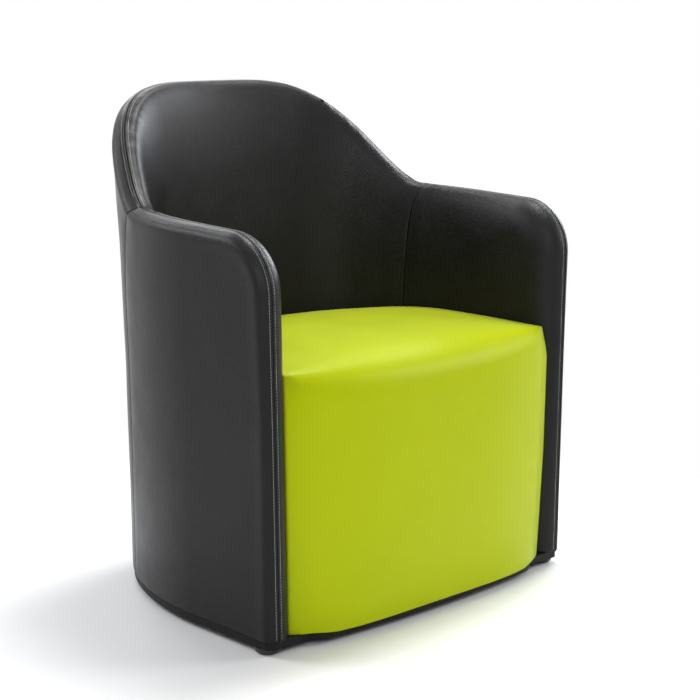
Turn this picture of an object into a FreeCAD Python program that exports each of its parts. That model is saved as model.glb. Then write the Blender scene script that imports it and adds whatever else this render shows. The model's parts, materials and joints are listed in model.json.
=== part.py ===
import FreeCAD, Part
import math
import os
import Sketcher

# Club chair: a horseshoe shell whose padded wall rises from low arms to a high back,
# round a separate upholstered seat box with a bowed front. Front faces -Y, +Z is up,
# and the origin is on the floor under the middle of the chair. Millimetres and degrees.

sizes = {
    # overall form of the shell, taken on the seam that runs round its rim
    "back_height": 780.0,        # floor to the top of the back
    "arm_height": 593.5,         # floor to the top of the arm at its front
    "arm_rise_angle": 2.4,       # slope of the arm top towards the back
    "seam_half_width": 310.0,    # centre of the chair to the rim seam
    "seam_front": 247.5,         # origin to the front of the arms
    "seam_back": 254.5,          # origin to the rim seam at the middle of the back
    "seam_level": 496.0,         # height at which those three are measured
    "wall_lean": 0.95,           # outward lean of the shell wall
    "back_arc_radius": 510.0,    # plan of the shell: three tangent arcs a side
    "back_arc_angle": 16.3,
    "corner_arc_angle": 42.0,
    "side_arc_radius": 438.0,
    "rise_start": 0.428,         # share of the half rim, from the arm front, where the rise starts
    "rise_end": 0.948,
    "rise_skew": 1.72,           # over 1, the rim climbs early and levels off slowly
    # build-up of the shell wall, from its outside to its inside
    "outer_thickness": 18.5,     # rim seam to the outer face
    "cover_thickness": 1.5,
    "outer_foam_thickness": 8.0,
    "skin_board_thickness": 3.0,
    "frame_thickness": 20.0,
    "inner_foam_thickness": 21.0,
    "rim_padding": 8.5,          # foam over the edges of the frame
    "outer_edge_radius": 17.5,
    "inner_edge_radius": 35.0,
    "arm_corner_radius": 84.5,
    "outer_side_seam": 134.0,    # where the outside back meets the outside arms, along Y
    "inner_side_seam": 50.0,
    # frame inside the wall
    "bottom_ring_height": 18.0,
    "rail_height": 18.0,
    "post_width": 28.0,
    "wing_rail_start": 30.0,
    "back_rail_start": 190.0,
    # base and glides
    "glide_height": 10.0,
    "glide_diameter": 38.0,
    "glide_stem_diameter": 8.0,
    "glide_stem_length": 24.0,
    "glide_edge_radius": 7.0,
    "front_glide_back": 30.0,    # arm front to the centre of the front glides
    "rear_glide_angle": 40.0,    # plan direction of the rear glides, from straight back
    "base_thickness": 12.0,
    "base_inset": 5.5,           # the base stands in this far from the shell
    "seat_base_inset": 8.5,      # and this far from the seat front
    # seat box
    "seat_clearance": 0.5,
    "seat_front": 277.5,         # origin to the middle of the bowed front
    "seat_bow": 15.0,            # the middle of the front stands this far before its ends
    "seat_corner_radius": 60.0,
    "seat_crown_height": 416.0,
    "seat_back_height": 366.0,
    "seat_side_height": 401.0,
    "seat_front_radius": 85.0,
    "deck_height": 300.0,
    "front_foam_thickness": 12.0,
    "bow_board_thickness": 4.0,
    "box_board_thickness": 18.0,
    "box_half_width": 229.0,
    "box_front": 218.0,
    "box_side_back": 66.0,       # the box's corners are cut off behind this
    "box_back": 164.0,
    "box_back_half_width": 148.0,
    "former_count": 3,
    "web_width": 50.0,
    "web_thickness": 1.5,
    "web_count": 5,
    "corner_block_size": 50.0,
    "corner_block_height": 40.0,
    # fasteners
    "screw_diameter": 5.0,
    "screw_head_diameter": 10.0,
    "screw_head_height": 3.0,
    "screw_length": 28.0,
    "bolt_diameter": 8.0,
    "bolt_head_diameter": 16.0,
    "bolt_head_height": 4.0,
    "bolt_length": 45.0,
    "hole_clearance": 0.25,
    "nut_barrel_diameter": 11.0,
    "nut_flange_diameter": 20.0,
    "nut_flange_thickness": 1.5,
}

doc = FreeCAD.newDocument("club_chair")
sheet = doc.addObject("Spreadsheet::Sheet", "sizes")
for row, (alias, value) in enumerate(sizes.items(), start=1):
    sheet.set(f"A{row}", alias)
    sheet.set(f"B{row}", str(value))
    sheet.setAlias(f"B{row}", alias)
doc.recompute()


def size(alias):
    """Value of one cell of the sheet."""
    return float(sheet.get(alias))


V = FreeCAD.Vector
BACK = size("back_arc_radius")
SIDE = size("side_arc_radius")
ANGLE_1 = math.radians(size("back_arc_angle"))
ANGLE_2 = ANGLE_1 + math.radians(size("corner_arc_angle"))
ANGLE_3 = math.pi / 2
LEAN = math.tan(math.radians(size("wall_lean")))
ARM_RISE = math.tan(math.radians(size("arm_rise_angle")))
BASE_TOP = size("glide_height") + size("base_thickness")
WALL_FLOOR = BASE_TOP + size("cover_thickness")
ABOVE = size("back_height") + 60.0     # any height clear above the chair

# The corner arc's radius closes the plan to the half width.
CORNER = (size("seam_half_width") - BACK * math.sin(ANGLE_1) - SIDE * (1 - math.sin(ANGLE_2)))
CORNER = CORNER / (math.sin(ANGLE_2) - math.sin(ANGLE_1))


def centre_after(centre, radius, next_radius, angle):
    """Centre of the arc that follows tangentially at the given direction."""
    step = radius - next_radius
    return V(centre.x + step * math.sin(angle), centre.y + step * math.cos(angle), 0)


back_centre = V(0, size("seam_back") - BACK, 0)
corner_centre = centre_after(back_centre, BACK, CORNER, ANGLE_1)
side_centre = centre_after(corner_centre, CORNER, SIDE, ANGLE_2)
plan_arcs = [(back_centre, BACK, 0.0, ANGLE_1),
             (corner_centre, CORNER, ANGLE_1, ANGLE_2),
             (side_centre, SIDE, ANGLE_2, ANGLE_3)]
STRAIGHT = side_centre.y + size("seam_front")
HALF_RIM = sum(radius * (end - start) for _, radius, start, end in plan_arcs) + STRAIGHT


def on_arc(centre, radius, angle, z=0.0):
    """Point at a plan direction, measured from straight back towards +X."""
    return V(centre.x + radius * math.sin(angle), centre.y + radius * math.cos(angle), z)


def mirrored(point):
    return V(-point.x, point.y, point.z)


def wall_offset(offset, z):
    """Plan offset at a height, with the wall's lean."""
    return offset + LEAN * (z - size("seam_level"))


def rim_station(distance):
    """Plan point and outward direction on the right half, from the middle of the back."""
    for centre, radius, start, end in plan_arcs:
        if distance <= radius * (end - start):
            angle = start + distance / radius
            return on_arc(centre, radius, angle), V(math.sin(angle), math.cos(angle), 0)
        distance -= radius * (end - start)
    return V(size("seam_half_width"), side_centre.y - distance, 0), V(1, 0, 0)


def rim_height(from_back):
    """Height of the rim seam, by distance along it from the middle of the back."""
    from_front = HALF_RIM - from_back
    arm = size("arm_height") + ARM_RISE * min(from_front, size("rise_start") * HALF_RIM)
    share = (from_front / HALF_RIM - size("rise_start")) / (size("rise_end") - size("rise_start"))
    share = 1 - (1 - min(max(share, 0.0), 1.0)) ** size("rise_skew")
    return arm + (size("back_height") - arm) * share * share * (3 - 2 * share)


def horseshoe(offset, z, front, bow=0.0):
    """Closed plan outline: straight arms, three tangent arcs a side, and a front edge."""
    grown = wall_offset(offset, z)
    right = []
    for centre, radius, start, end in plan_arcs:
        angles = (start, (start + end) / 2, end)
        right.append([on_arc(centre, radius + grown, angle, z) for angle in angles])
    left = [[mirrored(point) for point in arc] for arc in right]
    front_right = V(right[2][2].x, -front, z)
    front_left = mirrored(front_right)
    edges = [Part.LineSegment(front_left, left[2][2])]
    edges += [Part.Arc(arc[2], arc[1], arc[0]) for arc in reversed(left[1:])]
    edges.append(Part.Arc(left[0][2], right[0][0], right[0][2]))
    edges += [Part.Arc(*arc) for arc in right[1:]]
    edges.append(Part.LineSegment(right[2][2], front_right))
    if bow > 0:
        edges.append(Part.Arc(front_right, V(0, -front - bow, z), front_left))
    else:
        edges.append(Part.LineSegment(front_right, front_left))
    return Part.Wire([edge.toShape() for edge in edges])


def tub(offset, floor, top, front, bow=0.0):
    """Solid inside the wall surface at an offset from the rim seam, with the wall's lean."""
    sections = [horseshoe(offset, floor, front, bow), horseshoe(offset, top, front, bow)]
    return Part.makeLoft(sections, True, True)


def above_rim(drop):
    """Everything above the rim, lowered by a drop; the rim lies level across the wall."""
    reach = 60.0
    count = 16
    stations = [(HALF_RIM + reach) * index / count for index in range(-count, count + 1)]
    lines = []
    for side in (-reach, reach):
        points = []
        for station in stations:
            point, outward = rim_station(abs(station))
            if station < 0:
                point, outward = mirrored(point), mirrored(outward)
            place = point + outward * side
            points.append(V(place.x, place.y, rim_height(abs(station)) - drop))
        line = Part.BSplineCurve()
        line.interpolate(Points=points, Parameters=stations)
        lines.append(line.toShape())
    return Part.makeRuledSurface(*lines).extrude(V(0, 0, ABOVE))


def middle_of(edge):
    return edge.valueAt((edge.FirstParameter + edge.LastParameter) / 2)


def rim_edges(shape, outer, floor):
    """Edges where the rim and the arm fronts meet the outer or the inner wall face."""
    within = tub(0.0, 0.0, ABOVE + 100, size("seam_front") + 100)
    found = []
    for edge in shape.Edges:
        point = middle_of(edge)
        faces = shape.ancestorsOfType(edge, Part.Face)
        if point.z < floor + 1 or len(faces) != 2:
            continue
        normals = [face.normalAt(*face.Surface.parameter(point)) for face in faces]
        if abs(normals[0].dot(normals[1])) < 0.5 and within.isInside(point, 0.01, True) != outer:
            found.append(edge)
    return found


def wall(outer, inner, drop, floor, outer_round=0.0, inner_round=0.0):
    """The shell wall between two offsets, with its rim and arm fronts set back by a drop."""
    front = size("seam_front") - drop
    solid = tub(outer, floor, ABOVE, front + 50).cut(tub(inner, floor - 10, ABOVE + 10, front + 60))
    solid = solid.cut(above_rim(drop))
    solid = solid.cut(Part.makeBox(1000, 100, ABOVE + 100, V(-500, -front - 100, 0))).Solids[0]
    low = size("arm_height") - drop - 5
    corners = [edge for edge in solid.Edges
               if abs(middle_of(edge).y + front) < 0.1 and middle_of(edge).z > low]
    solid = solid.makeFillet(size("arm_corner_radius") - drop, corners).Solids[0]
    if outer_round > 0:
        solid = solid.makeFillet(outer_round, rim_edges(solid, True, floor)).Solids[0]
        solid = solid.makeFillet(inner_round, rim_edges(solid, False, floor)).Solids[0]
    return solid


def feature(label, shape):
    """A piece or a helper solid whose form the primitives don't offer."""
    obj = doc.addObject("Part::Feature", label)
    obj.Shape = shape
    obj.Placement = FreeCAD.Placement()
    return obj


def boolean(kind, label, base, tool):
    obj = doc.addObject(f"Part::{kind}", label)
    obj.Base = base
    obj.Tool = tool
    return obj


def group(label, members):
    """Several solids of one kind, kept apart, as one object."""
    obj = doc.addObject("Part::Compound", label)
    obj.Links = members
    return obj


def box(label, length, width, height, x, y, z, turn=0.0):
    """A box with sizes bound to the sheet; x, y and z may be expressions too."""
    obj = doc.addObject("Part::Box", label)
    for prop, expression in (("Length", length), ("Width", width), ("Height", height)):
        obj.setExpression(prop, expression)
    obj.Placement = FreeCAD.Placement(V(0, 0, 0), FreeCAD.Rotation(V(0, 0, 1), turn))
    for axis, expression in (("x", x), ("y", y), ("z", z)):
        obj.setExpression(f"Placement.Base.{axis}", str(expression))
    return obj


def cylinder(label, diameter, height, place, level):
    """A standing cylinder; its diameter, height and level are expressions."""
    obj = doc.addObject("Part::Cylinder", label)
    obj.setExpression("Radius", f"({diameter}) / 2")
    obj.setExpression("Height", height)
    obj.Placement = FreeCAD.Placement(V(place.x, place.y, 0), FreeCAD.Rotation())
    obj.setExpression("Placement.Base.z", level)
    return obj


def holes(label, diameter, places, level, height):
    members = [cylinder(f"{label}_{index}", diameter, height, place, level)
               for index, place in enumerate(places)]
    return group(label, members)


def headed_fasteners(label, kind, places):
    """Screws or bolts driven up through the base board, heads under it."""
    members = []
    for index, place in enumerate(places):
        shank = cylinder(f"{label}_shank_{index}", f"sizes.{kind}_diameter", f"sizes.{kind}_length",
                         place, "sizes.glide_height")
        head = cylinder(f"{label}_head_{index}", f"sizes.{kind}_head_diameter",
                        f"sizes.{kind}_head_height", place,
                        f"sizes.glide_height - sizes.{kind}_head_height")
        members.append(boolean("Fuse", f"{label}_{index}", shank, head))
    return group(label, members)


def glide(label, place):
    """Round domed foot with the stem that screws up into the base."""
    body = doc.addObject("PartDesign::Body", label)
    planes = {plane.Role: plane for plane in body.Origin.OriginFeatures}

    def disc(name, diameter, level, length):
        sketch = body.newObject("Sketcher::SketchObject", f"{label}_{name}_sketch")
        sketch.AttachmentSupport = [(planes["XY_Plane"], "")]
        sketch.MapMode = "FlatFace"
        sketch.setExpression("AttachmentOffset.Base.z", level)
        sketch.addGeometry(Part.Circle(V(0, 0, 0), V(0, 0, 1), size("glide_diameter") / 2))
        sketch.addConstraint(Sketcher.Constraint("Coincident", 0, 3, -1, 1))
        sketch.addConstraint(Sketcher.Constraint("Diameter", 0, size("glide_diameter")))
        sketch.setExpression("Constraints[1]", diameter)
        pad = body.newObject("PartDesign::Pad", f"{label}_{name}")
        pad.Profile = sketch
        pad.setExpression("Length", length)
        doc.recompute()
        return pad

    foot = disc("foot", "sizes.glide_diameter", "0", "sizes.glide_height")
    lowest = min(range(len(foot.Shape.Edges)), key=lambda index: foot.Shape.Edges[index].CenterOfMass.z)
    dome = body.newObject("PartDesign::Fillet", f"{label}_dome")
    dome.Base = (foot, [f"Edge{lowest + 1}"])
    dome.setExpression("Radius", "sizes.glide_edge_radius")
    doc.recompute()
    disc("stem", "sizes.glide_stem_diameter", "sizes.glide_height", "sizes.glide_stem_length")
    body.Placement = FreeCAD.Placement(place, FreeCAD.Rotation())
    return body


def wall_middle(angle, level):
    """Plan point at the middle of the frame's thickness, at a plan direction from straight back."""
    offset = wall_offset(frame_outer - size("frame_thickness") / 2, level)
    for centre, radius, start, end in plan_arcs:
        if angle <= end:
            return on_arc(centre, radius + offset, angle)
    return None


def arm_middle(y, level):
    """The same on the straight run of an arm."""
    offset = wall_offset(frame_outer - size("frame_thickness") / 2, level)
    return V(size("seam_half_width") + offset, y, 0)


def both_sides(points):
    return [place for point in points for place in (mirrored(point), point)]


# Offsets of each layer's outer surface from the rim seam, outside positive
foam_outer = size("outer_thickness") - size("cover_thickness")
board_outer = foam_outer - size("outer_foam_thickness")
frame_outer = board_outer - size("skin_board_thickness")
frame_inner = frame_outer - size("frame_thickness")
board_inner = frame_inner - size("skin_board_thickness")
foam_inner = board_inner - size("inner_foam_thickness")
cover_inner = foam_inner - size("cover_thickness")
cover = size("cover_thickness")
padded_drop = cover + size("rim_padding")

pieces = []


def piece(obj):
    """Marks an object as a sub-part of its own."""
    obj.Label = obj.Name
    pieces.append(obj)
    return obj


# Shell wall: whole layers first, then the panels and boards cut from them
cover_block = feature("cover_block", wall(size("outer_thickness"), cover_inner, 0.0, BASE_TOP,
                                          size("outer_edge_radius"), size("inner_edge_radius")))
foam_block = feature("foam_block", wall(foam_outer, foam_inner, cover, WALL_FLOOR,
                                        size("outer_edge_radius") - cover,
                                        size("inner_edge_radius") - cover))
core_block = feature("core_block", wall(board_outer, board_inner, padded_drop, WALL_FLOOR - 5))
inside_seam = feature("inside_seam", tub(0.0, 0.0, ABOVE, size("seam_front") + 100))

glide_places = both_sides([arm_middle(-size("seam_front") + size("front_glide_back"), BASE_TOP),
                           wall_middle(math.radians(size("rear_glide_angle")), BASE_TOP)])
screw_places = both_sides([arm_middle(-size("seam_front") / 3, BASE_TOP),
                           wall_middle(math.radians(80), BASE_TOP),
                           wall_middle(math.radians(12), BASE_TOP)])
block_reach = size("box_board_thickness") + size("corner_block_size") / 2
bolt_places = both_sides([V(size("box_half_width") - block_reach, -size("box_front") + block_reach, 0),
                          V(size("box_back_half_width") - block_reach, size("box_back") - block_reach, 0)])

flange_room = holes("flange_room", "sizes.nut_flange_diameter + 2 * sizes.hole_clearance",
                    glide_places, "sizes.glide_height", "sizes.base_thickness + sizes.cover_thickness")
screw_room = holes("screw_room", "sizes.screw_diameter + 2 * sizes.hole_clearance",
                   screw_places, "0", "2 * sizes.glide_height + sizes.base_thickness")
cover_room = group("cover_room", [flange_room, screw_room])

cover_layer = boolean("Cut", "cover_layer", boolean("Cut", "cover_hollow", cover_block, foam_block), cover_room)
foam_layer = boolean("Cut", "foam_layer", foam_block, core_block)

big = "2000"
regions = {}
for face, seam in (("outside", "outer_side_seam"), ("inside", "inner_side_seam")):
    regions[face] = [
        ("back", box(f"{face}_back_region", big, big, big, "-1000", f"sizes.{seam}", "-100")),
        ("left_arm", box(f"{face}_left_region", "1000", big, big, "-1000",
                         f"sizes.{seam} - 2000", "-100")),
        ("right_arm", box(f"{face}_right_region", "1000", big, big, "0",
                          f"sizes.{seam} - 2000", "-100"))]
for layer, name in ((cover_layer, "cover"), (foam_layer, "foam")):
    for face, kind in (("outside", "Cut"), ("inside", "Common")):
        half = boolean(kind, f"{face}_{name}", layer, inside_seam)
        for part, region in regions[face]:
            words = f"{part.split('_')[0]}_{face}_arm" if part.endswith("arm") else f"{face}_back"
            piece(boolean("Common", f"{words}_{name}", half, region))

# Skin boards and frame
frame_cavity = feature("frame_cavity", wall(frame_outer, frame_inner, padded_drop, WALL_FLOOR - 10))
board_level = box("board_level", big, big, big, "-1000", "-1000",
                  "sizes.glide_height + sizes.base_thickness + sizes.cover_thickness")
skins = boolean("Common", "skins", boolean("Cut", "skin_pair", core_block, frame_cavity), board_level)
piece(boolean("Cut", "outer_skin_board", skins, inside_seam))
piece(boolean("Common", "inner_skin_board", skins, inside_seam))

frame_zone = boolean("Common", "frame_zone", frame_cavity, board_level)
under_rail = feature("under_rail", above_rim(padded_drop + size("rail_height")))
rail_strip = boolean("Common", "rail_strip", frame_zone, under_rail)
rail_regions = [
    ("left_arm_rail", "1000", "-1000", "sizes.wing_rail_start - 2000", big),
    ("right_arm_rail", "1000", "0", "sizes.wing_rail_start - 2000", big),
    ("left_wing_rail", "1000", "-1000", "sizes.wing_rail_start",
     "sizes.back_rail_start - sizes.wing_rail_start"),
    ("right_wing_rail", "1000", "0", "sizes.wing_rail_start",
     "sizes.back_rail_start - sizes.wing_rail_start"),
    ("back_top_rail", big, "-1000", "sizes.back_rail_start", big)]
for name, length, x, y, width in rail_regions:
    piece(boolean("Common", name, rail_strip, box(f"{name}_region", length, width, big, x, y, "-100")))

glide_holes = holes("glide_holes", "sizes.nut_barrel_diameter", glide_places, "0", "100")
screw_pilots = holes("screw_pilots", "sizes.screw_diameter", screw_places, "0",
                     "sizes.glide_height + sizes.screw_length")
ring_slab = box("ring_slab", big, big, "sizes.bottom_ring_height", "-1000", "-1000",
                "sizes.glide_height + sizes.base_thickness + sizes.cover_thickness")
ring_blank = boolean("Common", "ring_blank", frame_zone, ring_slab)
piece(boolean("Cut", "bottom_ring", ring_blank, group("ring_holes", [glide_holes, screw_pilots])))

post_zone = boolean("Cut", "post_zone", boolean("Cut", "below_rails", frame_zone, under_rail), ring_slab)


def post(name, point, outward):
    """Upright of the frame, its width along the wall, filling the frame's thickness."""
    turn = math.degrees(math.atan2(outward.y, outward.x)) - 90
    along = V(outward.y, -outward.x, 0)
    corner = point - along * (size("post_width") / 2) - outward * (2 * size("frame_thickness"))
    blank = box(f"{name}_blank", "sizes.post_width", "4 * sizes.frame_thickness", big,
                f"{corner.x}", f"{corner.y}", "-100", turn)
    piece(boolean("Common", name, post_zone, blank))


front_post = V(size("seam_half_width"), -size("seam_front") + padded_drop + size("post_width") / 2, 0)
post_places = {"front_post": (front_post, V(1, 0, 0))}
for name, angle in (("middle_post", 76.0), ("wing_post", 36.0)):
    direction = math.radians(angle)
    post_places[name] = (wall_middle(direction, BASE_TOP), V(math.sin(direction), math.cos(direction), 0))
for name, (point, outward) in post_places.items():
    post(f"left_{name}", mirrored(point), mirrored(outward))
    post(f"right_{name}", point, outward)
post("back_centre_post", V(0, size("seam_back"), 0), V(0, 1, 0))


# Seat: one upholstered box that fills the space between the arms and bows out in front
def seat_block(inset, floor):
    """Outer form of the seat, set back all round by an inset."""
    offset = cover_inner - size("seat_clearance") - inset
    ends = size("seat_front") - size("seat_bow") - inset
    solid = tub(offset, floor, size("seat_crown_height") + 50, ends, size("seat_bow"))
    corners = [edge for edge in solid.Edges
               if middle_of(edge).y < 5 - ends and abs(middle_of(edge).x) > size("box_half_width")]
    solid = solid.makeFillet(size("seat_corner_radius") - inset, corners)
    # side profile: upright front, round front edge and a crowned top that falls to the back
    radius = size("seat_front_radius")
    start = V(0, -size("seat_front") + radius, size("seat_crown_height") - 2 - inset)
    crest = V(0, -size("seam_front") / 6, size("seat_crown_height") - inset)
    rear = V(0, size("seam_back"), size("seat_back_height") - inset)
    round_centre = start - V(0, 0, radius - inset)
    face_front = round_centre - V(0, radius - inset, 0)
    slope = math.radians(45)
    halfway = round_centre + V(0, -math.cos(slope), math.sin(slope)) * (radius - inset)
    low_front, low_rear = V(0, face_front.y, floor), V(0, rear.y, floor)
    edges = [Part.LineSegment(low_front, face_front), Part.Arc(face_front, halfway, start),
             Part.Arc(start, crest, rear), Part.LineSegment(rear, low_rear),
             Part.LineSegment(low_rear, low_front)]
    side = Part.Face(Part.Wire([edge.toShape() for edge in edges]))
    side.translate(V(-500, 0, 0))
    # cross profile: the crown from arm to arm
    half = size("seam_half_width")
    left, right = V(-half, 0, size("seat_side_height") - inset), V(half, 0, size("seat_side_height") - inset)
    low_left, low_right = V(-half, 0, floor), V(half, 0, floor)
    edges = [Part.LineSegment(low_left, left), Part.Arc(left, V(0, 0, size("seat_crown_height") - inset), right),
             Part.LineSegment(right, low_right), Part.LineSegment(low_right, low_left)]
    across = Part.Face(Part.Wire([edge.toShape() for edge in edges]))
    across.translate(V(0, -500, 0))
    return solid.common(side.extrude(V(1000, 0, 0))).common(across.extrude(V(0, 1000, 0))).Solids[0]


# The cover turns under the front foam as far as the bow board
seat_outside = feature("seat_outside", seat_block(0.0, BASE_TOP))
seat_inside = feature("seat_inside", seat_block(cover, WALL_FLOOR))
board_outside = feature("board_outside", seat_block(cover + size("front_foam_thickness"), BASE_TOP - 10))
seat_skin = boolean("Cut", "seat_skin", seat_outside, seat_inside)
piece(boolean("Cut", "seat_cover", seat_skin, board_outside))
deck = "sizes.deck_height + 2 * sizes.web_thickness"
above_deck = box("above_deck", big, big, big, "-1000", "-1000", deck)
piece(boolean("Common", "seat_foam", seat_inside, above_deck))

front_depth = size("seat_front") - size("box_front")
below_deck = box("below_deck", big, "sizes.seat_front - sizes.box_front + 20",
                 f"{deck} - sizes.glide_height - sizes.base_thickness", "-1000",
                 "-sizes.seat_front", "sizes.glide_height + sizes.base_thickness")
board_inset = cover + size("front_foam_thickness") + size("bow_board_thickness")
board_inside = feature("board_inside", seat_block(board_inset, BASE_TOP - 15))
front_padding = boolean("Cut", "front_padding", seat_inside, board_outside)
piece(boolean("Common", "seat_front_foam", front_padding, below_deck))
bow_layer = boolean("Cut", "bow_layer", board_outside, board_inside)
piece(boolean("Common", "seat_bow_board", bow_layer, below_deck))

former_slabs = []
for index in range(int(size("former_count"))):
    rise = (size("deck_height") - BASE_TOP - size("box_board_thickness")) / (size("former_count") - 1)
    former_slabs.append(box(f"former_slab_{index}", "2 * sizes.box_half_width",
                            "sizes.seat_front - sizes.box_front", "sizes.box_board_thickness",
                            "-sizes.box_half_width", "-sizes.seat_front", f"{BASE_TOP + rise * index}"))
piece(boolean("Common", "seat_front_formers", board_inside, group("former_slabs", former_slabs)))

# The box under the seat: six boards with mitred ends, its back corners cut off
box_right = [V(size("box_half_width"), -size("box_front"), BASE_TOP),
             V(size("box_half_width"), size("box_side_back"), BASE_TOP),
             V(size("box_back_half_width"), size("box_back"), BASE_TOP)]
box_outline = box_right + [mirrored(point) for point in reversed(box_right)]


def moved_in(outline, distance):
    """Corners of a counter-clockwise outline with every side moved inwards."""
    corners = []
    for index, corner in enumerate(outline):
        before = (corner - outline[index - 1]).normalize()
        after = (outline[(index + 1) % len(outline)] - corner).normalize()
        share = distance / (1 + before.dot(after))
        corners.append(corner + V(-before.y - after.y, before.x + after.x, 0) * share)
    return corners


box_inside = moved_in(box_outline, size("box_board_thickness"))
board_names = ("right", "right_rear", "back", "left_rear", "left", "front")
for index, name in enumerate(board_names):
    following = (index + 1) % len(board_names)
    ends = [box_outline[index], box_outline[following], box_inside[following], box_inside[index]]
    board = Part.Face(Part.makePolygon(ends + ends[:1]))
    piece(feature(f"seat_{name}_panel", board.extrude(V(0, 0, size("deck_height") - BASE_TOP))))

block = "sizes.corner_block_size"
blocks = []
for index, place in enumerate(bolt_places):
    blocks.append(box(f"corner_block_{index}", block, block, "sizes.corner_block_height",
                      f"{place.x} - {block} / 2", f"{place.y} - {block} / 2",
                      "sizes.glide_height + sizes.base_thickness"))
bolt_pilots = holes("bolt_pilots", "sizes.bolt_diameter", bolt_places, "0",
                    "sizes.glide_height + sizes.bolt_length")
piece(boolean("Cut", "corner_blocks", group("corner_block_blanks", blocks), bolt_pilots))

deck_floor = [V(point.x, point.y, size("deck_height")) for point in box_outline]
deck_space = feature("deck_space", Part.Face(Part.makePolygon(deck_floor + deck_floor[:1])).extrude(
    V(0, 0, 2 * size("web_thickness"))))
count = int(size("web_count"))
crossways, lengthways = [], []
for index in range(count):
    share = (index + 0.5) / count
    y = -size("box_front") + (size("box_front") + size("box_back")) * share
    x = size("box_half_width") * (2 * share - 1)
    crossways.append(box(f"crossways_web_{index}", "2 * sizes.box_half_width", "sizes.web_width",
                         "sizes.web_thickness", "-sizes.box_half_width",
                         f"{y} - sizes.web_width / 2", "sizes.deck_height"))
    lengthways.append(box(f"lengthways_web_{index}", "sizes.web_width",
                          "sizes.box_front + sizes.box_back", "sizes.web_thickness",
                          f"{x} - sizes.web_width / 2", "-sizes.box_front",
                          "sizes.deck_height + sizes.web_thickness"))
for name, members in (("crossways_webbing", crossways), ("lengthways_webbing", lengthways)):
    piece(boolean("Common", name, group(f"{name}_bands", members), deck_space))

# Base board, fasteners and glides
base_level = size("glide_height")
inset = size("base_inset")
shell_plate = tub(size("outer_thickness") - inset, base_level, BASE_TOP, size("seam_front") - inset)
outer_corners = [edge for edge in shell_plate.Edges if middle_of(edge).y < -size("seam_front") + inset + 1
                 and abs(middle_of(edge).x) > size("seam_half_width") - 20]
outer_corners = [edge for edge in outer_corners if base_level + 1 < middle_of(edge).z < BASE_TOP - 1]
shell_plate = shell_plate.makeFillet(size("outer_edge_radius") - inset, outer_corners)
base_slab = Part.makeBox(1000, 1000, size("base_thickness"), V(-500, -500, base_level))
seat_plate = seat_block(size("seat_base_inset"), base_level).common(base_slab)
base_blank = feature("base_blank", shell_plate.fuse(seat_plate).removeSplitter())
base_holes = group("base_holes", [
    holes("stem_room", "sizes.glide_stem_diameter + 2 * sizes.hole_clearance", glide_places, "0", "100"),
    holes("base_screw_room", "sizes.screw_diameter + 2 * sizes.hole_clearance", screw_places, "0", "100"),
    holes("base_bolt_room", "sizes.bolt_diameter + 2 * sizes.hole_clearance", bolt_places, "0", "100")])
piece(boolean("Cut", "base_board", base_blank, base_holes))

piece(headed_fasteners("shell_screws", "screw", screw_places))
piece(headed_fasteners("seat_bolts", "bolt", bolt_places))

nuts = []
for index, place in enumerate(glide_places):
    level = "sizes.glide_height + sizes.base_thickness"
    barrel = cylinder(f"nut_barrel_{index}", "sizes.nut_barrel_diameter",
                      "sizes.glide_stem_length - sizes.base_thickness", place, level)
    flange = cylinder(f"nut_flange_{index}", "sizes.nut_flange_diameter", "sizes.nut_flange_thickness",
                      place, level)
    stem = cylinder(f"nut_bore_{index}", "sizes.glide_stem_diameter", "sizes.glide_stem_length",
                    place, "sizes.glide_height")
    nuts.append(boolean("Cut", f"glide_nut_{index}", boolean("Fuse", f"nut_blank_{index}", barrel, flange), stem))
piece(group("glide_nuts", nuts))

glide_names = ("front_left_glide", "front_right_glide", "rear_left_glide", "rear_right_glide")
for name, place in zip(glide_names, glide_places):
    piece(glide(name, place))

# Every object has to be sound before anything is written
doc.recompute()
for obj in doc.Objects:
    if "Invalid" in obj.State or "Error" in obj.State:
        raise RuntimeError(f"{obj.Label} did not recompute: {obj.State}")
for obj in pieces:
    shape = obj.Shape
    if shape.isNull() or not shape.isValid() or not shape.Solids:
        raise RuntimeError(f"{obj.Label} has no sound solid")
os.makedirs("parts", exist_ok=True)
for obj in pieces:
    obj.Shape.exportStep(f"parts/{obj.Label}.step")
    print(f"{obj.Label}: {len(obj.Shape.Solids)} solid(s), {obj.Shape.Volume / 1000:.1f} cm3")
whole = Part.makeCompound([obj.Shape for obj in pieces])
box_of_all = whole.optimalBoundingBox(False, False)
print(f"{len(pieces)} pieces, {box_of_all}")
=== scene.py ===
import json
import math
import bpy
import numpy as np
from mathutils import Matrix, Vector, noise


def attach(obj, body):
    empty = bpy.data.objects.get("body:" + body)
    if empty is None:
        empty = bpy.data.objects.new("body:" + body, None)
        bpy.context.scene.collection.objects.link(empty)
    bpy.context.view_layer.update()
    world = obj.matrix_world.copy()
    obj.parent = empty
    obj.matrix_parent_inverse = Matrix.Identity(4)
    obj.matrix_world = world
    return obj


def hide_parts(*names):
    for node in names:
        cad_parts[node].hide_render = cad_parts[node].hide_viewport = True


# Club chair: black leatherette shell with a twin-stitched rim seam, lime seat, low black base.
# Metres; the front faces -Y and the floor is z = 0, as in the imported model.
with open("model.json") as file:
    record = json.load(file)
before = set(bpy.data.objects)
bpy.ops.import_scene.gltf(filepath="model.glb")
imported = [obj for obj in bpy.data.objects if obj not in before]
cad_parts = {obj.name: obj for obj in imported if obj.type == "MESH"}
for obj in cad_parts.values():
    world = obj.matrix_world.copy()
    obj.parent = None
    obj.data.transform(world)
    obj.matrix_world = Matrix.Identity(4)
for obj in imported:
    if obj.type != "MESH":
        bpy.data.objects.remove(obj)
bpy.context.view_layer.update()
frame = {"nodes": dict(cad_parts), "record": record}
print("frame loaded:", len(frame["nodes"]), "nodes")


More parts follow.
